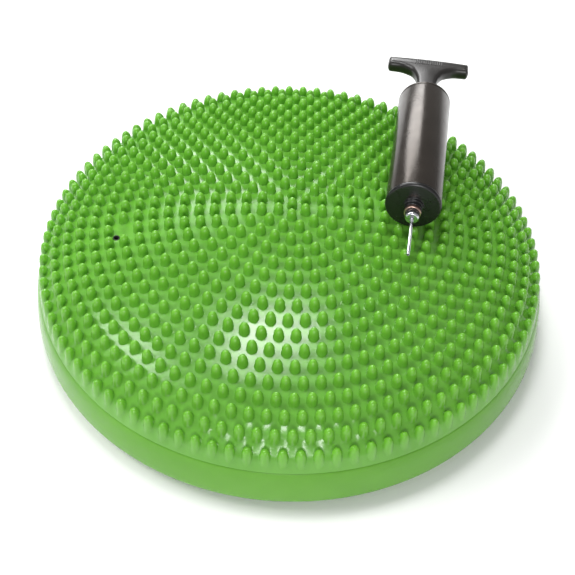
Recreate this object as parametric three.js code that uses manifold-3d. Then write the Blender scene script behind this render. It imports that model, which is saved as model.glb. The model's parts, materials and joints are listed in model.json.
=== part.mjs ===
// Inflatable balance disc with the hand pump that fills it, resting on its nubs.
// Millimetres, +Z up. The origin is the centre of the disc's flat underside.
import * as THREE from "three";
import { mergeVertices } from "three/addons/utils/BufferGeometryUtils.js";
import Module from "manifold-3d";

// ---- Disc: driving dimensions ----
const DISC_R = 165; // widest part of the side wall
const FOOT_R = 90; // flat part of the underside
const WALL_BOTTOM_Z = 12; // where the side wall meets the underside's round corner
const CREASE_R = 161.5; // parting line between the two skins
const CREASE_Z = 33.4;
const SKIN = 3.2; // moulded vinyl thickness
const NUB_RING_R = 157.5; // outermost ring of nubs
const NUB_R = 3.4;
const NUB_HEIGHT = 8.2;
const CROWN_R = 162; // the crown between the nubs is half an ellipsoid of this radius
const CROWN_RISE = 54;
const CROWN_BASE_Z = 29.2;
const SWELL = 1.6; // extra fullness near the rim, on top of the ellipsoid
const SWELL_R = 137;
const SWELL_WIDTH = 18;
const TOP_SKIN = 5.6; // skin with its nubs smeared out to the same weight, measured upright
const GAP = 0.3; // between touching pieces

// ---- Valve: driving dimensions ----
const VALVE_RING_R = 109.6;
const VALVE_ANGLE = THREE.MathUtils.degToRad(-170.3);
const VALVE_HOLE_R = 2.1;
const VALVE_SOCKET_R = 8;
const VALVE_PAD_R = 8.5; // local thickening of the upper skin round the hole
const VALVE_DEPTH = 12;
const VALVE_X = VALVE_RING_R * Math.cos(VALVE_ANGLE);
const VALVE_Y = VALVE_RING_R * Math.sin(VALVE_ANGLE);

// ---- Pump: driving dimensions, along its own axis from the end cap's face ----
const BARREL_R = 16.9;
const BARREL_BORE_R = 15.1;
const BARREL_END = 105.6;
const HANDLE_BAR_Z = 145.2;
const HANDLE_LENGTH = 54.8;
const HANDLE_NECK_R = 6.3;
const HANDLE_DEPTH = 9.6;
const ROD_R = 3;
const NEEDLE_R = 1.05;
const NEEDLE_BORE_R = 0.6;
const NEEDLE_TIP = -42.2;
const PUMP_HEADING = THREE.MathUtils.degToRad(7.07);
const PUMP_DROOP = THREE.MathUtils.degToRad(3); // how far the handle end points down
const PUMP_AT = new THREE.Vector2(72.05, -16.9); // the end cap's centre, seen from above

const wasm = await Module();
wasm.setup();

// Height of the skin between the nubs.
function crownZ(r) {
  const swell = SWELL * Math.exp(-(((r - SWELL_R) / SWELL_WIDTH) ** 2));
  return CROWN_BASE_Z + CROWN_RISE * Math.sqrt(1 - (r / CROWN_R) ** 2) + swell;
}

function tipZ(r) {
  return crownZ(r) + NUB_HEIGHT;
}

// ---- Geometry helpers ----

// A solid of revolution about Z from [radius, height] points, outside going up.
function turned(profile, segments) {
  const points = profile.map(([r, z]) => new THREE.Vector2(r, z));
  return new THREE.LatheGeometry(points, segments).rotateX(Math.PI / 2);
}

function arc(centreR, centreZ, radius, fromDeg, toDeg, steps) {
  return Array.from({ length: steps + 1 }, (_, i) => {
    const a = THREE.MathUtils.degToRad(fromDeg + ((toDeg - fromDeg) * i) / steps);
    return [centreR + radius * Math.cos(a), centreZ + radius * Math.sin(a)];
  });
}

function solid(geometry) {
  const bare = geometry.clone();
  bare.deleteAttribute("normal");
  bare.deleteAttribute("uv");
  const merged = mergeVertices(bare, 1e-4);
  return new wasm.Manifold(
    new wasm.Mesh({
      numProp: 3,
      vertProperties: new Float32Array(merged.attributes.position.array),
      triVerts: new Uint32Array(merged.index.array),
    }),
  );
}

function cut(body, ...tools) {
  return facets(tools.reduce((left, tool) => left.subtract(solid(tool)), body));
}

function facets(manifold) {
  const mesh = manifold.getMesh();
  const geometry = new THREE.BufferGeometry();
  const position = new THREE.BufferAttribute(mesh.vertProperties, 3);
  geometry.setAttribute("position", position);
  geometry.setIndex(new THREE.BufferAttribute(mesh.triVerts, 1));
  const flat = geometry.toNonIndexed();
  flat.computeVertexNormals();
  return flat;
}

function rod(radius, from, to, segments) {
  return new THREE.CylinderGeometry(radius, radius, to - from, segments)
    .rotateX(Math.PI / 2)
    .translate(0, 0, (from + to) / 2);
}

function piece(name, geometry, material) {
  const { color, roughness, metalness = 0 } = material;
  const look = new THREE.MeshStandardMaterial({ color, roughness, metalness });
  const mesh = new THREE.Mesh(geometry, look);
  mesh.name = name;
  return mesh;
}

const VINYL = { color: 0x66b32e, roughness: 0.35 };
const BLACK_RUBBER = { color: 0x1c1c1c, roughness: 0.7 };
const CHARCOAL = { color: 0x4a4846, roughness: 0.3, metalness: 0.3 };
const BLACK_PLASTIC = { color: 0x1b1b1c, roughness: 0.35 };
const STEEL = { color: 0xc9ccd0, roughness: 0.2, metalness: 1 };
const BRASS = { color: 0xb08d57, roughness: 0.3, metalness: 1 };

// ---- Disc ----
const DISC_SEGMENTS = 96;
const LIP_R = CREASE_R - SKIN - 0.2; // welding lip inside the lower skin's wall
const LIP_BOTTOM_Z = CREASE_Z - 6;
const ENVELOPE_R = NUB_RING_R + NUB_R; // outside of the outermost nubs
const VALVE_TOP_Z = crownZ(VALVE_RING_R + VALVE_SOCKET_R) - SKIN - GAP;

// The crown's radii, closer together towards the rim where it bends most.
const CROWN_RADII = [40, 75, 100, 120, 135, 147, NUB_RING_R];

function upperSkin() {
  const outside = [
    [LIP_R - SKIN, LIP_BOTTOM_Z],
    [LIP_R, LIP_BOTTOM_Z],
    [LIP_R, CREASE_Z + GAP],
    [CREASE_R, CREASE_Z + GAP],
    [ENVELOPE_R, crownZ(ENVELOPE_R)],
    [ENVELOPE_R, tipZ(NUB_RING_R) - NUB_R],
    ...CROWN_RADII.toReversed().map((r) => [r, tipZ(r)]),
    [0, tipZ(0)],
  ];
  const inside = [
    [0, tipZ(0) - TOP_SKIN],
    ...CROWN_RADII.slice(0, -1).map((r) => [r, tipZ(r) - TOP_SKIN]),
    [LIP_R - SKIN, tipZ(NUB_RING_R) - TOP_SKIN - 1],
    [LIP_R - SKIN, LIP_BOTTOM_Z],
  ];
  const shell = turned([...outside, ...inside], DISC_SEGMENTS);
  const padTop = tipZ(VALVE_RING_R) - TOP_SKIN / 2;
  const pad = rod(VALVE_PAD_R, VALVE_TOP_Z + GAP, padTop, 24).translate(VALVE_X, VALVE_Y, 0);
  const hole = rod(VALVE_HOLE_R, 0, tipZ(0), 16).translate(VALVE_X, VALVE_Y, 0);
  return piece("upper_skin", cut(solid(shell).add(solid(pad)), hole), VINYL);
}

function lowerSkin() {
  const cornerR = 9;
  const cornerCentreR = DISC_R - cornerR;
  const corner = arc(cornerCentreR, WALL_BOTTOM_Z, cornerR, -75, 0, 4);
  const insideCorner = arc(cornerCentreR, WALL_BOTTOM_Z, cornerR - SKIN, 0, -75, 4);
  const profile = [
    [0, 0],
    [FOOT_R, 0],
    ...corner,
    [CREASE_R, CREASE_Z],
    [CREASE_R - SKIN, CREASE_Z],
    ...insideCorner,
    [FOOT_R, SKIN],
    [0, SKIN],
  ];
  return piece("lower_skin", turned(profile, DISC_SEGMENTS), VINYL);
}

// The socket welded under the upper skin, with the self-sealing rubber core inside it.
function valve() {
  const group = new THREE.Group();
  group.position.set(VALVE_X, VALVE_Y, VALVE_TOP_Z);
  const coreR = 4.5;
  const socket = turned(
    [
      [1.5, -VALVE_DEPTH],
      [VALVE_SOCKET_R - 2, -VALVE_DEPTH],
      [VALVE_SOCKET_R - 1.5, -2],
      [VALVE_SOCKET_R, -1.6],
      [VALVE_SOCKET_R, 0],
      [coreR + GAP, 0],
      [coreR + GAP, -VALVE_DEPTH + 2],
      [1.5, -VALVE_DEPTH + 2],
      [1.5, -VALVE_DEPTH],
    ],
    24,
  );
  const core = turned(
    [
      [0, -VALVE_DEPTH + 2 + GAP],
      [coreR, -VALVE_DEPTH + 2 + GAP],
      [coreR, -0.4],
      [1.4, -0.4],
      [0.4, -2.2],
      [0, -2.2],
    ],
    24,
  );
  group.add(piece("valve_socket", socket, VINYL));
  group.add(piece("valve_core", core, BLACK_RUBBER));
  return group;
}

// ---- Pump, along its own +Z from the end cap's face towards the handle ----
const BARREL_SEGMENTS = 28;
const SMALL_SEGMENTS = 16;
const CAP_FLANGE = 2.2;
const BUSH_R = 4.5;
const BUSH_BORE_R = 3.8;
const BUSH_RIM_R = 5.1;
const BUSH_FRONT = -6.5;
const HUB_R = 4.2;
const HUB_FRONT = -11.2;
const PISTON_FROM = 17;
const PISTON_TO = 30;
const PISTON_R = 14.6;
const ROD_FROM = 20.3;
const ROD_TO = 137;
const NECK_FROM = BARREL_END + 4.4;
const GUIDE_RIM = 2.3;
const GUIDE_DEPTH = 8;

function barrel() {
  const profile = [
    [BARREL_BORE_R, CAP_FLANGE + GAP],
    [BARREL_R, CAP_FLANGE + GAP],
    [BARREL_R, BARREL_END - GUIDE_RIM - GAP],
    [BARREL_BORE_R, BARREL_END - GUIDE_RIM - GAP],
    [BARREL_BORE_R, CAP_FLANGE + GAP],
  ];
  return piece("pump_barrel", turned(profile, BARREL_SEGMENTS), CHARCOAL);
}

// The needle end's cap: a flange, a stepped boss round the outlet and a plug in the barrel.
function endCap() {
  const plugR = BARREL_BORE_R - GAP;
  const pocketR = BUSH_R + GAP;
  const profile = [
    [pocketR, -4],
    [5.5, -4],
    [5.5, -1.5],
    [6.3, -1.5],
    [6.3, 0],
    [BARREL_R - 0.5, 0],
    [BARREL_R + 0.1, 0.6],
    [BARREL_R + 0.1, CAP_FLANGE],
    [plugR, CAP_FLANGE],
    [plugR, 13],
    [plugR - 2.4, 13],
    [plugR - 2.4, 7],
    [1.5, 7],
    [1.5, 4.3],
    [pocketR, 4.3],
    [pocketR, -4],
  ];
  return piece("end_cap", turned(profile, BARREL_SEGMENTS), BLACK_PLASTIC);
}

function rodGuideCap() {
  const plugR = BARREL_BORE_R - GAP;
  const seat = BARREL_END - GUIDE_RIM;
  const profile = [
    [ROD_R + GAP, BARREL_END - GUIDE_DEPTH],
    [plugR, BARREL_END - GUIDE_DEPTH],
    [plugR, seat],
    [BARREL_R, seat],
    [BARREL_R, BARREL_END - 0.8],
    [BARREL_R - 0.8, BARREL_END],
    [ROD_R + GAP, BARREL_END],
    [ROD_R + GAP, BARREL_END - GUIDE_DEPTH],
  ];
  return piece("rod_guide_cap", turned(profile, BARREL_SEGMENTS), CHARCOAL);
}

// The internally threaded insert that takes the needle.
function outletBush() {
  const profile = [
    [BUSH_BORE_R, BUSH_FRONT],
    [BUSH_RIM_R, BUSH_FRONT],
    [BUSH_RIM_R, -4 - GAP],
    [BUSH_R, -4 - GAP],
    [BUSH_R, 4],
    [BUSH_BORE_R, 4],
    [BUSH_BORE_R, BUSH_FRONT],
  ];
  return piece("outlet_bush", turned(profile, SMALL_SEGMENTS), BRASS);
}

function needleGasket() {
  const inner = BUSH_BORE_R - 0.1;
  const profile = [
    [inner, BUSH_FRONT - 0.7],
    [inner + 0.7, BUSH_FRONT - 0.7],
    [inner + 0.7, BUSH_FRONT - 0.1],
    [inner, BUSH_FRONT - 0.1],
    [inner, BUSH_FRONT - 0.7],
  ];
  return piece("needle_gasket", turned(profile, SMALL_SEGMENTS), BLACK_RUBBER);
}

function needleHub() {
  const bore = NEEDLE_R + 0.1;
  const shoulder = BUSH_FRONT - 0.8;
  const profile = [
    [bore, HUB_FRONT],
    [HUB_R - 0.5, HUB_FRONT],
    [HUB_R, HUB_FRONT + 0.5],
    [HUB_R, shoulder],
    [BUSH_BORE_R - GAP, shoulder],
    [BUSH_BORE_R - GAP, -2],
    [bore, -2],
    [bore, HUB_FRONT],
  ];
  return piece("needle_hub", turned(profile, SMALL_SEGMENTS), STEEL);
}

function needleTube() {
  const profile = [
    [NEEDLE_BORE_R, NEEDLE_TIP],
    [NEEDLE_R - 0.2, NEEDLE_TIP],
    [NEEDLE_R, NEEDLE_TIP + 0.5],
    [NEEDLE_R, -2.5],
    [NEEDLE_BORE_R, -2.5],
    [NEEDLE_BORE_R, NEEDLE_TIP],
  ];
  return piece("needle_tube", turned(profile, SMALL_SEGMENTS), STEEL);
}

function pistonHead() {
  const grooveR = 12.4;
  const profile = [
    [1.9, PISTON_FROM],
    [PISTON_R - 0.8, PISTON_FROM],
    [PISTON_R, PISTON_FROM + 0.8],
    [PISTON_R, 21],
    [grooveR, 21],
    [grooveR, 25.4],
    [PISTON_R, 25.4],
    [PISTON_R, PISTON_TO],
    [ROD_R + GAP, PISTON_TO],
    [ROD_R + GAP, 20],
    [1.9, 20],
    [1.9, PISTON_FROM],
  ];
  return piece("piston_head", turned(profile, BARREL_SEGMENTS), BLACK_PLASTIC);
}

function pistonSeal() {
  const ring = arc(13.75, 23.2, 1.15, 0, 360, 10);
  return piece("piston_seal", turned(ring, BARREL_SEGMENTS), BLACK_RUBBER);
}

function pistonScrew() {
  const headTop = PISTON_FROM - GAP;
  const profile = [
    [0, headTop - 2.1],
    [3, headTop - 2.1],
    [3.4, headTop - 1.6],
    [3.4, headTop],
    [1.6, headTop],
    [1.6, 27],
    [0, 27],
  ];
  return piece("piston_screw", turned(profile, SMALL_SEGMENTS), STEEL);
}

function plungerRod() {
  const profile = [
    [0, 29],
    [1.9, 29],
    [1.9, ROD_FROM],
    [ROD_R, ROD_FROM],
    [ROD_R, ROD_TO],
    [0, ROD_TO],
  ];
  return piece("plunger_rod", turned(profile, SMALL_SEGMENTS), STEEL);
}

// A T in one moulding: a bar with a slightly arched top, flaring down into a neck.
function handle() {
  const half = HANDLE_LENGTH / 2;
  const bevel = 3.2;
  const top = HANDLE_BAR_Z + 5.2;
  const bottom = HANDLE_BAR_Z - 4.6;
  const flareFrom = HANDLE_BAR_Z - 17;
  const outline = new THREE.Shape();
  outline.moveTo(HANDLE_NECK_R, NECK_FROM);
  outline.lineTo(HANDLE_NECK_R, flareFrom);
  outline.quadraticCurveTo(HANDLE_NECK_R + 0.8, bottom - 1, 15, bottom);
  outline.lineTo(half, bottom + 0.9);
  outline.lineTo(half, top - 2);
  outline.quadraticCurveTo(0, top + 2, -half, top - 2);
  outline.lineTo(-half, bottom + 0.9);
  outline.lineTo(-15, bottom);
  outline.quadraticCurveTo(-HANDLE_NECK_R - 0.8, bottom - 1, -HANDLE_NECK_R, flareFrom);
  outline.lineTo(-HANDLE_NECK_R, NECK_FROM);
  outline.closePath();
  const shape = new THREE.ExtrudeGeometry(outline, {
    depth: HANDLE_DEPTH - 2 * bevel,
    bevelEnabled: true,
    bevelThickness: bevel,
    bevelSize: bevel,
    bevelOffset: -bevel,
    bevelSegments: 3,
    curveSegments: 8,
  })
    .rotateX(Math.PI / 2)
    .translate(0, HANDLE_DEPTH / 2 - bevel, 0);
  const socket = rod(ROD_R + GAP, NECK_FROM - 5, ROD_TO + GAP, SMALL_SEGMENTS);
  return piece("t_handle", cut(solid(shape), socket), BLACK_PLASTIC);
}

// The height at which a barrel along this axis, from this point, just clears the nubs.
function restingZ(from, axis) {
  const level = Math.hypot(axis.x, axis.y);
  let height = 0;
  for (let along = 0; along <= BARREL_END; along += 1) {
    for (let across = -BARREL_R; across <= BARREL_R; across += BARREL_R / 20) {
      const x = from.x + axis.x * along + (axis.y * across) / level;
      const y = from.y + axis.y * along - (axis.x * across) / level;
      const r = Math.hypot(x, y);
      const underside = Math.sqrt(BARREL_R ** 2 - across ** 2) / level;
      const clear = r > NUB_RING_R ? 0 : tipZ(r) + GAP + underside - axis.z * along;
      height = Math.max(height, clear);
    }
  }
  return height;
}

// The pump lies on the nubs on one side of the crown, its handle end over the rim.
function pump() {
  const group = new THREE.Group();
  group.rotation.set(-Math.PI / 2 - PUMP_DROOP, 0, -PUMP_HEADING, "ZYX");
  const axis = new THREE.Vector3(0, 0, 1).applyEuler(group.rotation);
  group.position.set(PUMP_AT.x, PUMP_AT.y, restingZ(PUMP_AT, axis));
  group.add(
    barrel(),
    endCap(),
    rodGuideCap(),
    outletBush(),
    needleGasket(),
    needleHub(),
    needleTube(),
    pistonHead(),
    pistonSeal(),
    pistonScrew(),
    plungerRod(),
    handle(),
  );
  return group;
}

const group = new THREE.Group();
group.add(upperSkin(), lowerSkin(), valve(), pump());
export default group;
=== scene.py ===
# Inflatable balance disc with its hand pump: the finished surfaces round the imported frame.
# Lengths are in millimetres until MM turns them into metres; lights and the floor are in metres.
import json
import math
import random

import bmesh
import bpy
from mathutils import Matrix, Vector
from mathutils.geometry import delaunay_2d_cdt, tessellate_polygon


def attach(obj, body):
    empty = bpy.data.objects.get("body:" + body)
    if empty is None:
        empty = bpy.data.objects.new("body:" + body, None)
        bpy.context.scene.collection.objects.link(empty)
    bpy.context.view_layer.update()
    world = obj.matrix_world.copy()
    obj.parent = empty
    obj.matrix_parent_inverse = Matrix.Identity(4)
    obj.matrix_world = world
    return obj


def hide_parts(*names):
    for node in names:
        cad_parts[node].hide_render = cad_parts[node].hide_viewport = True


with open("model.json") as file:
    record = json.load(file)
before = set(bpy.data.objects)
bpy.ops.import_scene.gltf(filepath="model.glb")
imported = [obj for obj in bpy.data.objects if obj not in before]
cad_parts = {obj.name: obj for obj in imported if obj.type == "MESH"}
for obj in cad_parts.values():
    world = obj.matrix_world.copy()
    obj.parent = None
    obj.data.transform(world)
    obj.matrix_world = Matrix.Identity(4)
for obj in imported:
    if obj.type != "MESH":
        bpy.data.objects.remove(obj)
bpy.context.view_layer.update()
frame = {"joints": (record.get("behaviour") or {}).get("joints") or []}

MM = 0.001
random.seed(7)

# ---- Disc dimensions, as in the CAD ----
CROWN_R = 162
CROWN_RISE = 54
CROWN_BASE_Z = 29.2
SWELL = 1.6
SWELL_R = 137
SWELL_WIDTH = 18
CREASE_R = 161.5
CREASE_Z = 33.4
SKIN = 3.2
GAP = 0.3
DISC_R = 165
WALL_BOTTOM_Z = 12
WALL_CORNER_R = 9
FOOT_R = 90
LIP_R = CREASE_R - SKIN - 0.2
LIP_BOTTOM_Z = CREASE_Z - 6
NUB_RING_R = 157.5
NUB_RINGS = 17
NUB_PITCH = 10
VALVE_RING_R = 109.6
VALVE_ANGLE = math.radians(-170.3)
VALVE_HOLE_R = 2.1
VALVE_SOCKET_R = 8
VALVE_PAD_R = 8.5
VALVE_DEPTH = 12

# ---- Disc details of the finished surface ----
NUB_HEIGHT = 7.7
NUB_SIDES = 12
NUB_SHAPE = [(0.4, 3.22), (2.6, 3.12), (4.6, 2.78), (6.2, 2.08), (7.3, 1.12)]  # height, radius
NUB_BASE_R = 3.45
NUB_FOOT_HEIGHT = 5.5  # above this a nub no longer follows the crown's slope
RIM_GAPS = (1.24, 1.1)  # the outermost gaps between rings, relative to the others
RIM_SIDES = 360
WALL_SIDES = 288
VALVE_CLEARING = 6.1  # no nub stands closer to the valve than this
VALVE_FLAT_R = 2.5
VALVE_RIM_DROP = 0.3
VALVE_TOP_SIDES = 16
VALVE_PAD_SIDES = 24
THROAT_TOP_Z = 63.2  # the dark lining ends just below the hole's rim

# ---- Pump dimensions, as in the CAD, along its axis from the end cap's face ----
BARREL_R = 16.9
BARREL_BORE_R = 15.1
BARREL_END = 105.6
PLUG_R = BARREL_BORE_R - GAP
BOSS_R = 5.5
BOSS_BORE_R = 4.8
BUSH_R = 4.5
BUSH_BORE_R = 3.8
HUB_R = 3.5
HUB_FLANGE_R = 4.2
HUB_END = -11.2
NEEDLE_R = 1.05
NEEDLE_BORE_R = 0.6
NEEDLE_TIP = -42.2
PISTON_R = 14.6
PISTON_START = 17
PISTON_END = 30
SEAL_R = 13.75
SEAL_THICKNESS_R = 1.15
SEAL_Z = 23.2
ROD_R = 3
ROD_BORE_R = 3.3
ROD_END = 137
HANDLE_BAR_Z = 145.2
HANDLE_LENGTH = 54.8
HANDLE_NECK_R = 6.3

# ---- Handle details of the finished surface ----
HANDLE_CORNER_R = 2.2
HANDLE_FACE_Y = -4.8  # the upper face, since the pump's y points down
RIB_PITCH = 1.5
RIBS_EACH_SIDE = 6


def crown_z(r):
    """Height of the crown between the nubs, at a distance from the middle."""
    swell = SWELL * math.exp(-(((r - SWELL_R) / SWELL_WIDTH) ** 2))
    return CROWN_BASE_Z + CROWN_RISE * math.sqrt(max(0, 1 - (r / CROWN_R) ** 2)) + swell


VALVE_X = VALVE_RING_R * math.cos(VALVE_ANGLE)
VALVE_Y = VALVE_RING_R * math.sin(VALVE_ANGLE)
VALVE_FLAT_Z = crown_z(VALVE_RING_R)
VALVE_TOP_Z = crown_z(VALVE_RING_R + VALVE_SOCKET_R) - SKIN - GAP

# =============================== Materials ===============================


class Look:
    """A Principled material with a few helpers for its procedural detail."""

    def __init__(self, name, **sockets):
        self.material = bpy.data.materials.new(name)
        self.material.use_nodes = True
        self.nodes = self.material.node_tree.nodes
        self.links = self.material.node_tree.links
        self.shader = self.nodes["Principled BSDF"]
        self.where = self.nodes.new("ShaderNodeTexCoord").outputs["Object"]
        for key, value in sockets.items():
            self.shader.inputs[key.replace("_", " ")].default_value = value

    def noise(self, scale, detail=3, stretch=None):
        node = self.nodes.new("ShaderNodeTexNoise")
        node.inputs["Scale"].default_value = scale
        node.inputs["Detail"].default_value = detail
        source = self.where
        if stretch:
            mapping = self.nodes.new("ShaderNodeMapping")
            mapping.inputs["Scale"].default_value = stretch
            self.links.new(source, mapping.inputs["Vector"])
            source = mapping.outputs["Vector"]
        self.links.new(source, node.inputs["Vector"])
        return node.outputs["Fac"]

    def ramp(self, factor, *stops):
        """A colour from a factor; each stop is (position, colour)."""
        node = self.nodes.new("ShaderNodeValToRGB")
        elements = node.color_ramp.elements
        while len(elements) < len(stops):
            elements.new(0.5)
        for element, (position, color) in zip(elements, stops):
            element.position = position
            element.color = (*color, 1)
        self.links.new(factor, node.inputs["Fac"])
        return node.outputs["Color"]

    def mottle(self, factor, dark, light):
        """Two colours, mixed by the middle part of a noise."""
        return self.ramp(factor, (0.3, dark), (0.7, light))

    def levels(self, factor, low, high):
        """A value from low to high, over the middle part of a noise."""
        node = self.nodes.new("ShaderNodeMapRange")
        node.inputs["From Min"].default_value = 0.3
        node.inputs["From Max"].default_value = 0.7
        node.inputs["To Min"].default_value = low
        node.inputs["To Max"].default_value = high
        self.links.new(factor, node.inputs["Value"])
        return node.outputs["Result"]

    def attribute(self, name):
        node = self.nodes.new("ShaderNodeAttribute")
        node.attribute_name = name
        return node.outputs["Fac"]

    def multiply(self, a, b):
        node = self.nodes.new("ShaderNodeMix")
        node.data_type = "RGBA"
        node.blend_type = "MULTIPLY"
        node.inputs[0].default_value = 1.0
        self.links.new(a, node.inputs[6])
        self.links.new(b, node.inputs[7])
        return node.outputs[2]

    def bump(self, *layers):
        """Each layer is (height, strength, distance in metres)."""
        normal = None
        for height, strength, distance in layers:
            node = self.nodes.new("ShaderNodeBump")
            node.inputs["Strength"].default_value = strength
            node.inputs["Distance"].default_value = distance
            self.links.new(height, node.inputs["Height"])
            if normal:
                self.links.new(normal, node.inputs["Normal"])
            normal = node.outputs["Normal"]
        self.links.new(normal, self.shader.inputs["Normal"])

    def feed(self, socket, value):
        self.links.new(value, self.shader.inputs[socket])


def vinyl(name, tip, gap, by_height):
    """Soft glossy vinyl; by_height colours it by how far up a nub a point is."""
    look = Look(name, Subsurface_Weight=0.1, IOR=1.5)
    look.shader.inputs["Subsurface Radius"].default_value = (0.6, 1.0, 0.3)
    look.shader.inputs["Subsurface Scale"].default_value = 0.002
    cloud = look.noise(22, 3)
    if by_height:
        halfway = [0.5 * (a + b) for a, b in zip(gap, tip)]
        base = look.ramp(look.attribute("nub"), (0.0, gap), (0.35, halfway), (0.8, tip))
    else:
        base = look.mottle(look.noise(6, 2), gap, tip)
    tint = look.mottle(cloud, (0.9, 0.93, 0.86), (1.06, 1.04, 1.08))
    look.feed("Base Color", look.multiply(base, tint))
    look.feed("Roughness", look.levels(look.noise(60, 4), 0.17, 0.27))
    look.bump((look.noise(900, 3), 0.12, 0.0004), (look.noise(120, 2), 0.1, 0.0008))
    return look.material


def plastic(name, dark, light, roughness, grain, flake=0.0):
    """Hard plastic; flake is the share of metallic sheen."""
    look = Look(name, IOR=1.5)
    look.shader.inputs["Metallic"].default_value = flake
    look.feed("Base Color", look.mottle(look.noise(35, 4), dark, light))
    look.feed("Roughness", look.levels(look.noise(90, 4), roughness - 0.05, roughness + 0.07))
    look.bump((look.noise(grain, 3), 0.14, 0.0003), (look.noise(60, 3), 0.08, 0.0006))
    return look.material


def metal(name, dark, light, roughness, stretch):
    look = Look(name, Metallic=1.0)
    look.feed("Base Color", look.mottle(look.noise(120, 3), dark, light))
    brushed = look.noise(300, 3, stretch)
    look.feed("Roughness", look.levels(brushed, roughness - 0.05, roughness + 0.1))
    look.bump((brushed, 0.12, 0.0002))
    return look.material


def rubber(name, dark, light):
    look = Look(name, IOR=1.45)
    look.feed("Base Color", look.mottle(look.noise(80, 4), dark, light))
    look.feed("Roughness", look.levels(look.noise(200, 3), 0.55, 0.75))
    look.bump((look.noise(700, 3), 0.2, 0.0003))
    return look.material


VINYL_TOP = vinyl("vinyl_top", (0.14, 0.41, 0.03), (0.13, 0.37, 0.04), True)
# The side wall is the top's vinyl with a duller finish; its greens are set darker than the top's as painted
# shade on the side wall.
SHADED_VINYL_WALL = vinyl("vinyl_wall_painted_shade", (0.115, 0.33, 0.03), (0.13, 0.35, 0.038), False)
SHADED_VINYL_WALL.node_tree.nodes["Principled BSDF"].inputs["Specular IOR Level"].default_value = 0.28
CHARCOAL = plastic("charcoal_plastic", (0.034, 0.028, 0.023), (0.046, 0.038, 0.031), 0.22, 1200, 0.55)
BLACK = plastic("black_plastic", (0.004, 0.004, 0.004), (0.009, 0.009, 0.009), 0.27, 900)
HANDLE = plastic("handle_plastic", (0.009, 0.008, 0.0072), (0.017, 0.015, 0.013), 0.33, 900)
STEEL = metal("steel", (0.5, 0.52, 0.54), (0.66, 0.68, 0.7), 0.18, (1, 1, 12))
BRASS = metal("brass", (0.45, 0.3, 0.24), (0.56, 0.4, 0.33), 0.28, (12, 12, 1))
SEAL = rubber("seal_rubber", (0.012, 0.012, 0.012), (0.02, 0.02, 0.02))
VALVE_RUBBER = rubber("valve_rubber", (0.016, 0.016, 0.014), (0.028, 0.028, 0.026))

# =============================== Geometry helpers ===============================


def finished(name, vertices, faces, material, body, nodes, place=None):
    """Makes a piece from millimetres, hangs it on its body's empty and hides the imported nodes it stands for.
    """
    mesh = bpy.data.meshes.new(name)
    mesh.from_pydata([tuple(c * MM for c in v) for v in vertices], [], faces)
    if place:
        mesh.transform(place)
    mesh.validate()
    solid = bmesh.new()
    solid.from_mesh(mesh)
    bmesh.ops.recalc_face_normals(solid, faces=solid.faces)
    solid.to_mesh(mesh)
    solid.free()
    mesh.update()
    piece = bpy.data.objects.new(name, mesh)
    bpy.context.scene.collection.objects.link(piece)
    mesh.materials.append(material)
    for polygon in mesh.polygons:
        polygon.use_smooth = True
    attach(piece, body)
    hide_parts(*nodes)
    return piece


def sharpen(piece, degrees=38):
    """Keeps edges crisp where two faces meet at more than this angle."""
    mesh = piece.data
    limit = math.radians(degrees)
    faces_of = {}
    for polygon in mesh.polygons:
        for key in polygon.edge_keys:
            faces_of.setdefault(key, []).append(polygon.normal)
    for edge in mesh.edges:
        normals = faces_of.get(edge.key, [])
        edge.use_edge_sharp = len(normals) == 2 and normals[0].angle(normals[1], 0) > limit


def rounded(corners, steps):
    """A closed profile whose corners, given as (r, z, fillet), are rounded off."""
    points = []
    count = len(corners)
    for i, (r, z, fillet) in enumerate(corners):
        here = Vector((r, z))
        if fillet == 0:
            points.append(here)
            continue
        before = Vector(corners[i - 1][:2]) - here
        after = Vector(corners[(i + 1) % count][:2]) - here
        reach = min(fillet, before.length * 0.49, after.length * 0.49)
        start = here + before.normalized() * reach
        end = here + after.normalized() * reach
        for step in range(steps + 1):
            t = step / steps
            points.append(start * (1 - t) ** 2 + here * 2 * t * (1 - t) + end * t**2)
    return [(p.x, p.y) for p in points]


def lathe(profile, sides):
    """Vertices and faces of a closed profile turned about Z; points on the axis are shared."""
    on_axis = 1e-6
    vertices, rows = [], []
    for r, z in profile:
        if r < on_axis:
            rows.append([len(vertices)] * sides)
            vertices.append((0, 0, z))
            continue
        rows.append(range(len(vertices), len(vertices) + sides))
        for k in range(sides):
            a = 2 * math.pi * k / sides
            vertices.append((r * math.cos(a), r * math.sin(a), z))
    faces = []
    for i, row in enumerate(rows):
        after = (i + 1) % len(rows)
        if profile[i][0] < on_axis and profile[after][0] < on_axis:
            continue
        following = rows[after]
        for k in range(sides):
            m = (k + 1) % sides
            face = [row[k], row[m], following[m], following[k]]
            faces.append([v for n, v in enumerate(face) if v not in face[:n]])
    return vertices, faces


def turned(name, corners, material, body, nodes, sides, steps, place):
    """A piece made by turning a profile with rounded corners; steps is the points per corner."""
    vertices, faces = lathe(rounded(corners, steps), sides)
    piece = finished(name, vertices, faces, material, body, nodes, place)
    sharpen(piece)
    return piece


def circle(x, y, r, sides, turn=0.0):
    return [
        (
            x + r * math.cos(2 * math.pi * (k + turn) / sides),
            y + r * math.sin(2 * math.pi * (k + turn) / sides),
        )
        for k in range(sides)
    ]


def arc(x, y, r, degrees):
    """Points on a circle at the angles given."""
    return [(x + r * math.cos(math.radians(d)), y + r * math.sin(math.radians(d))) for d in degrees]


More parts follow.
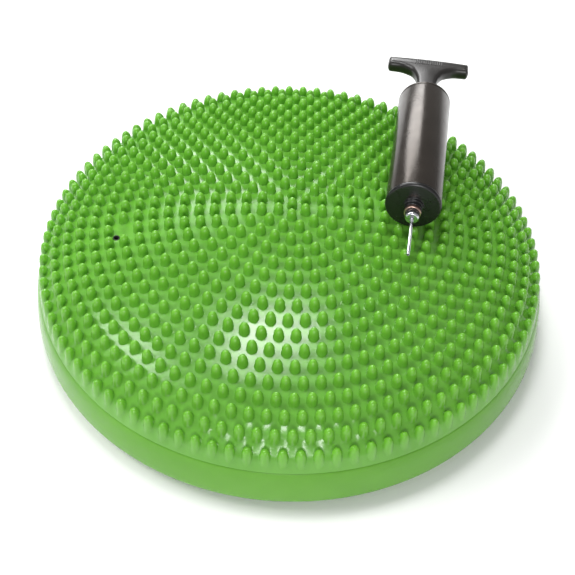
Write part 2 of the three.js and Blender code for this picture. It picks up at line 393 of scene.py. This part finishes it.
def spline(points, per_span=8):
    """A smooth open curve through 2-D points."""
    out = []
    ends = [points[0], *points, points[-1]]
    for i in range(1, len(ends) - 2):
        p = [Vector(q) for q in ends[i - 1 : i + 3]]
        linear = p[2] - p[0]
        square = 2 * p[0] - 5 * p[1] + 4 * p[2] - p[3]
        cube = 3 * p[1] - p[0] - 3 * p[2] + p[3]
        for s in range(per_span):
            t = s / per_span
            out.append(0.5 * (2 * p[1] + linear * t + square * t**2 + cube * t**3))
    out.append(Vector(points[-1]))
    return out


# =============================== Disc ===============================


def ring_radii():
    """Radii of the nub rings, equally spaced along the crown's curve but for the rim's."""
    steps = 4000
    lengths = [0.0]
    for i in range(steps):
        a, b = NUB_RING_R * i / steps, NUB_RING_R * (i + 1) / steps
        lengths.append(lengths[-1] + math.hypot(b - a, crown_z(b) - crown_z(a)))
    gaps = [1.0] * (NUB_RINGS - len(RIM_GAPS)) + list(reversed(RIM_GAPS))
    radii, i = [], 0
    for k in range(1, NUB_RINGS + 1):
        while lengths[i] < lengths[-1] * sum(gaps[:k]) / sum(gaps) - 1e-9:
            i += 1
        radii.append(NUB_RING_R * i / steps)
    return radii


def nub_places():
    """(x, y, base radius) of each nub, the middle one first."""
    radii = ring_radii()
    places = [(0.0, 0.0, NUB_BASE_R)]
    for k, r in enumerate(radii):
        inner = r - (radii[k - 1] if k else 0)
        outer = radii[k + 1] - r if k + 1 < len(radii) else inner
        base = min(NUB_BASE_R, 0.48 * min(inner, outer))
        count = round(2 * math.pi * r / NUB_PITCH)
        for n in range(count):
            a = -math.pi / 2 + 2 * math.pi * (n + 0.5 * (k % 2)) / count
            x, y = r * math.cos(a), r * math.sin(a)
            if math.hypot(x - VALVE_X, y - VALVE_Y) > VALVE_CLEARING:
                places.append((x, y, base))
    return places


def flat_skin(loops, points):
    """Triangles between closed loops in the plane; loops after the first are left open."""
    flat, edges, starts = [], [], []
    for loop in loops:
        start = len(flat)
        starts.append(start)
        flat += loop
        edges += [(start + k, start + (k + 1) % len(loop)) for k in range(len(loop))]
    flat += points
    out = delaunay_2d_cdt([Vector(p) for p in flat], edges, [], 0, 1e-6)
    new_vertices, _, triangles, origin, _, _ = out
    back = [o[0] if o else None for o in origin]

    # The open loops are filed by grid cell, so that each triangle meets only those near it.
    cell = 12.0
    holes = {}
    for loop in loops[1:]:
        cx = sum(p[0] for p in loop) / len(loop)
        cy = sum(p[1] for p in loop) / len(loop)
        reach = max(math.hypot(p[0] - cx, p[1] - cy) for p in loop)
        inner = reach * math.cos(math.pi / len(loop)) * 0.999
        for i in range(math.floor((cx - reach) / cell), math.floor((cx + reach) / cell) + 1):
            for j in range(math.floor((cy - reach) / cell), math.floor((cy + reach) / cell) + 1):
                holes.setdefault((i, j), []).append((cx, cy, inner))
    faces = []
    for a, b, c in triangles:
        mid = (new_vertices[a] + new_vertices[b] + new_vertices[c]) / 3
        near = holes.get((math.floor(mid.x / cell), math.floor(mid.y / cell)), [])
        if any(math.hypot(mid.x - x, mid.y - y) < r for x, y, r in near):
            continue
        face = [back[a], back[b], back[c]]
        if None in face:
            raise RuntimeError("the triangulation added a point")
        faces.append(face)
    return flat, faces, starts


class Crown:
    """The upper skin's mesh as it grows, with each vertex's height up a nub from 0 to 1."""

    def __init__(self):
        self.vertices, self.faces, self.nub = [], [], []

    def ring(self, points, height=0.0):
        first = len(self.vertices)
        self.vertices.extend(points)
        self.nub.extend([height] * len(points))
        return list(range(first, first + len(points)))

    def band(self, lower, upper):
        for k in range(len(lower)):
            m = (k + 1) % len(lower)
            self.faces.append([lower[k], lower[m], upper[m], upper[k]])

    def outside(self, places):
        """The outer face, flattened a little round the valve; gives back where each loop starts."""
        rim = circle(0, 0, CREASE_R, RIM_SIDES)
        hole_rim = circle(VALVE_X, VALVE_Y, VALVE_HOLE_R + 0.25, VALVE_TOP_SIDES)
        loops = [rim, hole_rim] + [circle(x, y, b, NUB_SIDES, 0.5) for x, y, b in places]
        flat, faces, starts = flat_skin(loops, [])
        self.faces.extend(faces)
        for x, y in flat:
            z = crown_z(math.hypot(x, y))
            away = math.hypot(x - VALVE_X, y - VALVE_Y)
            if away < VALVE_CLEARING:
                ease = min(1, max(0, (away - VALVE_FLAT_R) / (VALVE_CLEARING - VALVE_FLAT_R)))
                z = z * ease + (VALVE_FLAT_Z - VALVE_RIM_DROP) * (1 - ease)
            self.ring([(x, y, z)])
        return starts

    def add_nub(self, x, y, base, start):
        """One nub, grown from its loop in the outer face."""
        lower = list(range(start, start + NUB_SIDES))
        middle = crown_z(math.hypot(x, y))
        slant = [self.vertices[i][2] - middle for i in lower]
        plumpness = random.uniform(0.985, 1.015)
        for height, radius in NUB_SHAPE:
            follow = max(0.0, 1 - height / NUB_FOOT_HEIGHT)
            radius *= plumpness
            if height < 1:
                radius = min(radius, base - 0.02)
            outline = circle(x, y, min(radius, base - 0.01), NUB_SIDES, 0.5)
            points = [(px, py, middle + height + follow * slant[k]) for k, (px, py) in enumerate(outline)]
            upper = self.ring(points, height / NUB_HEIGHT)
            self.band(lower, upper)
            lower = upper
        tip = self.ring([(x, y, middle + NUB_HEIGHT)], 1.0)[0]
        for k in range(NUB_SIDES):
            self.faces.append([lower[k], lower[(k + 1) % NUB_SIDES], tip])

    def lip(self, outer):
        """The rim: over the crease, down the welding lip, and back up to the inner face."""
        edge = [
            (CREASE_R - 0.08, CREASE_Z + 0.1), (CREASE_R - 0.4, CREASE_Z + 0.02),
            (LIP_R, CREASE_Z + 0.02), (LIP_R, LIP_BOTTOM_Z), (LIP_R - SKIN, LIP_BOTTOM_Z),
            (LIP_R - SKIN, crown_z(LIP_R - SKIN) - SKIN - 1),
        ]
        for r, z in edge:
            following = self.ring([(px, py, z) for px, py in circle(0, 0, r, RIM_SIDES)])
            self.band(following, outer)
            outer = following
        return outer

    def inside(self, inner_rim):
        """The inner face, with the pad round the valve; gives back the hole's mouth."""
        loops = [
            circle(0, 0, LIP_R - SKIN, RIM_SIDES),
            circle(VALVE_X, VALVE_Y, VALVE_PAD_R, VALVE_PAD_SIDES),
        ]
        points = [(0.0, 0.0)]
        for r in range(12, 150, 12):
            points += [
                p for p in circle(0, 0, r, max(12, round(r * 0.5)))
                if math.hypot(p[0] - VALVE_X, p[1] - VALVE_Y) > VALVE_PAD_R + 1
            ]
        flat, under, starts = flat_skin(loops, points)
        index = {starts[0] + k: inner_rim[k] for k in range(RIM_SIDES)}
        for k, (x, y) in enumerate(flat):
            if k not in index:
                index[k] = self.ring([(x, y, crown_z(math.hypot(x, y)) - SKIN)])[0]
        self.faces.extend([[index[c], index[b], index[a]] for a, b, c in under])

        pad = [index[starts[1] + k] for k in range(VALVE_PAD_SIDES)]
        pad_z = VALVE_TOP_Z + GAP
        foot, mouth = (
            self.ring([(x, y, pad_z) for x, y in circle(VALVE_X, VALVE_Y, r, VALVE_PAD_SIDES)])
            for r in (VALVE_PAD_R, VALVE_HOLE_R)
        )
        self.band(foot, pad)
        self.band(mouth, foot)
        return mouth

    def valve_hole(self, top, mouth):
        """The hole's wall: two sides of its top rim for every three of its mouth."""
        around = circle(VALVE_X, VALVE_Y, VALVE_HOLE_R, VALVE_TOP_SIDES)
        neck = self.ring([(x, y, VALVE_FLAT_Z - 0.8) for x, y in around])
        self.band(neck, top)
        for k in range(VALVE_TOP_SIDES // 2):
            a, b, c = (neck[(2 * k + n) % VALVE_TOP_SIDES] for n in range(3))
            d, e, f, g = (mouth[(3 * k + n) % VALVE_PAD_SIDES] for n in range(4))
            self.faces.extend([[d, e, a], [e, b, a], [e, f, b], [f, c, b], [f, g, c]])


def upper_skin():
    crown = Crown()
    places = nub_places()
    starts = crown.outside(places)
    for (x, y, base), start in zip(places, starts[2:]):
        crown.add_nub(x, y, base, start)
    inner_rim = crown.lip(list(range(starts[0], starts[0] + RIM_SIDES)))
    mouth = crown.inside(inner_rim)
    crown.valve_hole(list(range(starts[1], starts[1] + VALVE_TOP_SIDES)), mouth)
    piece = finished(
        "nubbed_crown", crown.vertices, crown.faces, VINYL_TOP, "disc", ["upper_skin"]
    )
    sharpen(piece, 34)
    layer = piece.data.attributes.new("nub", "FLOAT", "POINT")
    layer.data.foreach_set("value", crown.nub)
    return piece


def lower_skin():
    centre_r = DISC_R - WALL_CORNER_R
    profile = [(0, 0), (20, 0)]
    for r in range(24, FOOT_R - 4, 4):  # shallow grooves in the foot
        profile += [(r, 0), (r + 0.5, 0.5), (r + 1.3, 0.5), (r + 1.8, 0)]
    corner = arc(centre_r, WALL_BOTTOM_Z, WALL_CORNER_R, [-75 + 75 * k / 12 for k in range(13)])
    slope_r, slope_z = FOOT_R + 6, 0.15
    rise_r, rise_z = corner[0][0] - slope_r, corner[0][1] - slope_z
    profile.append((FOOT_R, 0))
    profile += [(slope_r + rise_r * k / 8, slope_z + rise_z * k / 8) for k in range(8)]
    profile += corner
    profile += [
        (164.95, 14.5), (164.75, 18), (164.35, 22), (163.8, 26), (163.2, 29.2), (162.5, 31.4),
        (161.95, 32.5), (161.65, 33.05), (161.4, CREASE_Z - 0.12), (160.9, CREASE_Z - 0.08),
    ]
    profile += [(CREASE_R - SKIN, CREASE_Z - 0.08), (CREASE_R - SKIN, 20)]
    inner_corner = arc(centre_r, WALL_BOTTOM_Z, WALL_CORNER_R - SKIN, range(0, -76, -15))
    profile += [(min(r, CREASE_R - SKIN), z) for r, z in inner_corner]
    profile += [(FOOT_R, SKIN), (0, SKIN)]
    vertices, faces = lathe(profile, WALL_SIDES)
    piece = finished(
        "smooth_wall_and_foot", vertices, faces, SHADED_VINYL_WALL, "disc", ["lower_skin"]
    )
    sharpen(piece, 50)
    return piece


def valve():
    """The parts under the valve hole, measured down from the socket's top."""
    place = Matrix.Translation(Vector((VALVE_X, VALVE_Y, VALVE_TOP_Z)) * MM)
    bore_r = 4.8
    turned(
        "valve_socket_moulding",
        [
            (1.5, -VALVE_DEPTH, 0.3), (VALVE_SOCKET_R - 2, -VALVE_DEPTH, 0.8),
            (VALVE_SOCKET_R - 1.5, -2, 0.6), (VALVE_SOCKET_R, -1.6, 0.3), (VALVE_SOCKET_R, 0, 0.3),
            (bore_r, 0, 0.3), (bore_r, -VALVE_DEPTH + 2, 0.3), (1.5, -VALVE_DEPTH + 2, 0.3),
        ],
        SHADED_VINYL_WALL, "disc", ["valve_socket"], 48, 3, place,
    )
    core_r = bore_r - GAP
    core_bottom = -VALVE_DEPTH + 2 + GAP
    turned(
        "valve_core_rubber",
        [
            (0, core_bottom, 0), (core_r, core_bottom, 0.5), (core_r, -0.4, 0.3), (1.4, -0.4, 0.3),
            (0.4, -2.2, 0.2), (0, -2.2, 0),
        ],
        VALVE_RUBBER, "disc", ["valve_core"], 40, 3, place,
    )
    top = THROAT_TOP_Z - VALVE_TOP_Z
    turned(
        "valve_throat_lining",
        [(1.55, top, 0.1), (2.05, top, 0.1), (2.05, 5.6, 0.1), (1.55, 5.6, 0.1)],
        VALVE_RUBBER, "disc", ["valve_core"], 24, 2, place,
    )


crown = upper_skin()
wall = lower_skin()
valve()

# =============================== Pump ===============================

joints = {j["name"]: j for j in frame["joints"]}
pump_axis = Vector(joints["plunger_slide"]["axis"]).normalized()
pump_side = pump_axis.cross(Vector((0, 0, 1))).normalized()
pump_down = pump_axis.cross(pump_side)
PUMP = Matrix.Translation(Vector(joints["handle_spin"]["pos_m"])) @ Matrix(
    (pump_side, pump_down, pump_axis)
).transposed().to_4x4()

turned(
    "barrel_tube",
    [
        (BARREL_BORE_R, 2.5, 0.2), (BARREL_R, 2.5, 0.3), (BARREL_R, BARREL_END - 2.6, 0.5),
        (BARREL_BORE_R, BARREL_END - 2.6, 0.2),
    ],
    CHARCOAL, "pump", ["pump_barrel"], 128, 3, PUMP,
)
turned(
    "needle_end_cap",
    [
        (BOSS_BORE_R, -4, 0.2), (BOSS_R, -4, 0.4), (BOSS_R, -1.5, 0.3), (6.3, -1.5, 0.4), (6.3, 0, 0.4),
        (BARREL_R - 0.9, 0, 0.9), (BARREL_R + 0.1, 0.9, 0.6), (BARREL_R + 0.1, 2.2, 0.2),
        (PLUG_R, 2.2, 0.1), (PLUG_R, 13, 0.4), (PLUG_R - 2.4, 13, 0.4), (PLUG_R - 2.4, 7, 0.4),
        (1.5, 7, 0.3), (1.5, 4.3, 0.1), (BOSS_BORE_R, 4.3, 0.1),
    ],
    BLACK, "pump", ["end_cap"], 128, 4, PUMP,
)
turned(
    "rod_guide",
    [
        (ROD_BORE_R, BARREL_END - 8, 0.2), (PLUG_R, BARREL_END - 8, 0.4), (PLUG_R, BARREL_END - 2.3, 0.1),
        (BARREL_R, BARREL_END - 2.3, 0.3), (BARREL_R, BARREL_END - 0.9, 0.6),
        (BARREL_R - 0.9, BARREL_END, 0.6), (ROD_BORE_R, BARREL_END, 0.3),
    ],
    CHARCOAL, "pump", ["rod_guide_cap"], 128, 4, PUMP,
)
turned(
    "threaded_bush",
    [
        (BUSH_BORE_R, -6.5, 0.2), (5.1, -6.5, 0.5), (5.1, -4.3, 0.2), (BUSH_R, -4.3, 0.1),
        (BUSH_R, 4, 0.3), (BUSH_BORE_R, 4, 0.2),
    ],
    BRASS, "pump", ["outlet_bush"], 64, 3, PUMP,
)
turned(
    "gasket_ring",
    [(3.7, -7.2, 0.1), (4.4, -7.2, 0.1), (4.4, -6.6, 0.1), (3.7, -6.6, 0.1)],
    SEAL, "gasket", ["needle_gasket"], 48, 2, PUMP,
)
turned(
    "needle_fitting",
    [
        (1.15, HUB_END, 0.2), (HUB_R, HUB_END, 0.4), (HUB_FLANGE_R, -10.5, 0.4),
        (HUB_FLANGE_R, -7.3, 0.2), (HUB_R, -7.3, 0.1), (HUB_R, -2, 0.3), (1.15, -2, 0.2),
    ],
    STEEL, "needle", ["needle_hub"], 64, 3, PUMP,
)
turned(
    "hollow_needle",
    [
        (NEEDLE_BORE_R, NEEDLE_TIP, 0.1), (0.85, NEEDLE_TIP, 0.12), (NEEDLE_R, NEEDLE_TIP + 0.6, 0.3),
        (NEEDLE_R, -2.5, 0.1), (NEEDLE_BORE_R, -2.5, 0.1),
    ],
    STEEL, "needle", ["needle_tube"], 32, 3, PUMP,
)
turned(
    "piston_body",
    [
        (1.9, PISTON_START, 0.2), (13.8, PISTON_START, 0.5), (PISTON_R, 17.8, 0.4), (PISTON_R, 21, 0.2),
        (12.4, 21, 0.2), (12.4, 25.4, 0.2), (PISTON_R, 25.4, 0.2), (PISTON_R, PISTON_END, 0.6),
        (ROD_BORE_R, PISTON_END, 0.3), (ROD_BORE_R, 20, 0.2), (1.9, 20, 0.2),
    ],
    BLACK, "piston", ["piston_head"], 96, 3, PUMP,
)
turned(
    "piston_o_ring",
    [(r, z, 0) for r, z in arc(SEAL_R, SEAL_Z, SEAL_THICKNESS_R, range(0, 360, 20))],
    SEAL, "piston", ["piston_seal"], 96, 1, PUMP,
)
turned(
    "piston_fixing_screw",
    [
        (0, 14.6, 0), (3, 14.6, 0.4), (3.4, 15.1, 0.3), (3.4, 16.7, 0.2), (1.6, 16.7, 0.2),
        (1.6, 27, 0.2), (0, 27, 0),
    ],
    STEEL, "plunger", ["piston_screw"], 40, 3, PUMP,
)
turned(
    "pull_rod",
    [(0, 29, 0), (1.9, 29, 0.2), (1.9, 20.3, 0.2), (ROD_R, 20.3, 0.3), (ROD_R, ROD_END, 0.3), (0, ROD_END, 0)],
    STEEL, "plunger", ["plunger_rod"], 48, 3, PUMP,
)


def handle_outline(inset):
    """The handle's outline in its own plane, drawn in by the inset."""
    half = HANDLE_LENGTH / 2 - inset
    top, bottom = HANDLE_BAR_Z + 5.0, HANDLE_BAR_Z - 4.7
    neck_r = HANDLE_NECK_R
    flare = [
        (neck_r, BARREL_END + 4.4), (neck_r, BARREL_END + 11), (neck_r + 0.4, HANDLE_BAR_Z - 20),
        (neck_r + 1.7, HANDLE_BAR_Z - 14), (neck_r + 4.6, bottom - 4.2), (neck_r + 8.6, bottom - 1.6),
        (neck_r + 13, bottom - 0.2),
    ]
    side = []
    for i, (x, z) in enumerate(flare):
        before, after = flare[max(i - 1, 0)], flare[min(i + 1, len(flare) - 1)]
        along = Vector((after[0] - before[0], after[1] - before[1])).normalized()
        side.append((x - along.y * inset, z + along.x * inset))
    corner_r = max(0.5, HANDLE_CORNER_R - inset)
    low, high = bottom + inset, top - 0.9 - inset
    end = arc(half - corner_r, low + corner_r, corner_r, (-80, -45, -10))
    end += arc(half - corner_r, high - corner_r, corner_r, (10, 45, 80))
    right = spline([*side, *end, (half * 0.55, top - 0.25 - inset), (0, top - inset)])
    return right + [Vector((-p.x, p.y)) for p in reversed(right[:-1])]


def t_handle():
    """The outline in layers, from the upper face down; each layer is (y, inset)."""
    layers = [
        (HANDLE_FACE_Y, 2.9), (-4.62, 2.0), (-4.1, 1.1), (-3.2, 0.45), (-2.1, 0.1), (-0.9, 0.0),
        (0.9, 0.05), (2.1, 0.4), (3.1, 1.0), (3.9, 1.9), (4.5, 3.1),
    ]
    vertices = [(p.x, y, p.y) for y, inset in layers for p in handle_outline(inset)]
    count = len(vertices) // len(layers)
    faces = []
    for layer in range(len(layers) - 1):
        for k in range(count):
            m = (k + 1) % count
            a, b = layer * count, (layer + 1) * count
            faces.append([a + k, a + m, b + m, b + k])
    for first in (0, (len(layers) - 1) * count):
        flat = [Vector((x, z, 0)) for x, _, z in vertices[first : first + count]]
        faces += [[first + k for k in triangle] for triangle in tessellate_polygon([flat])]
    piece = finished(
        "t_handle_moulding", vertices, faces, HANDLE, "plunger", ["t_handle"], PUMP
    )
    sharpen(piece, 60)


def grip_ribs():
    """Low ridges across the middle of the bar, where the fingers pull."""
    vertices, faces = [], []
    section = [(-0.42, 0.25), (-0.36, -0.12), (-0.2, -0.3), (0.2, -0.3), (0.36, -0.12), (0.42, 0.25)]
    layers = [(-3.1, 0.3), (-2.7, 0.85), (-2.2, 1), (2.0, 1), (2.5, 0.85), (2.9, 0.3)]  # z, size
    sides = len(section)
    for n in range(-RIBS_EACH_SIDE, RIBS_EACH_SIDE + 1):
        first = len(vertices)
        for z, size in layers:
            for x, y in section:
                lift = y if y > 0 else y * size
                vertices.append((n * RIB_PITCH + x * size, HANDLE_FACE_Y + lift, HANDLE_BAR_Z + z))
        for layer in range(len(layers) - 1):
            for k in range(sides):
                a = first + layer * sides + k
                b = first + layer * sides + (k + 1) % sides
                faces.append([a, a + sides, b + sides, b])
        last = first + (len(layers) - 1) * sides
        faces.append([first + k for k in range(sides)])
        faces.append([last + k for k in reversed(range(sides))])
    finished("handle_grip_ribs", vertices, faces, HANDLE, "plunger", ["t_handle"], PUMP)


t_handle()
grip_ribs()

# =============================== Stage ===============================


def floor():
    look = Look("studio_floor", Roughness=0.9)
    look.feed("Base Color", look.mottle(look.noise(4, 2), (0.9, 0.9, 0.9), (0.93, 0.93, 0.93)))
    mesh = bpy.data.meshes.new("floor")
    mesh.from_pydata([(-6, -6, 0), (6, -6, 0), (6, 6, 0), (-6, 6, 0)], [], [(0, 1, 2, 3)])
    mesh.materials.append(look.material)
    piece = bpy.data.objects.new("floor", mesh)
    bpy.context.scene.collection.objects.link(piece)
    piece.location.z = -0.0002


def softbox(name, where, size, power, aim=(0, 0, 0.05)):
    data = bpy.data.lights.new(name, "AREA")
    data.shape = "RECTANGLE"
    data.size, data.size_y = size
    data.energy = power
    lamp = bpy.data.objects.new(name, data)
    bpy.context.scene.collection.objects.link(lamp)
    lamp.location = where
    lamp.rotation_euler = (Vector(aim) - Vector(where)).to_track_quat("-Z", "Y").to_euler()


floor()
softbox("key_left", (-0.95, 0.0, 1.15), (0.6, 0.6), 10)
softbox("overhead", (-0.09, 0.17, 1.28), (0.42, 0.25), 7.2)
softbox("shoulder", (0.0, -1.3, 0.66), (0.5, 0.28), 8)
softbox("behind_left", (-0.24, 1.4, 0.85), (0.82, 0.75), 19, aim=(0.08, 0.04, 0.1))

world = bpy.data.worlds.new("studio")
world.use_nodes = True
background = world.node_tree.nodes["Background"]
background.inputs["Color"].default_value = (1, 1, 1, 1)
background.inputs["Strength"].default_value = 0.38
bpy.context.scene.world = world
bpy.context.scene.view_settings.view_transform = "Standard"

# The camera was fitted to the rings of nubs and the disc's outline.
CAMERA_AT = (-0.976, -488.43, 563.09)
CAMERA_DOWN = math.radians(48.69)
CAMERA_ROLL = math.radians(2.15)
camera_data = bpy.data.cameras.new("camera")
camera_data.sensor_width = 36
camera_data.lens = 68.93
camera = bpy.data.objects.new("camera", camera_data)
bpy.context.scene.collection.objects.link(camera)
pitch = Matrix.Rotation(math.pi / 2 - CAMERA_DOWN, 4, "X")
roll = Matrix.Rotation(CAMERA_ROLL, 4, "Z")
camera.matrix_world = Matrix.Translation(Vector(CAMERA_AT) * MM) @ pitch @ roll
bpy.context.scene.camera = camera
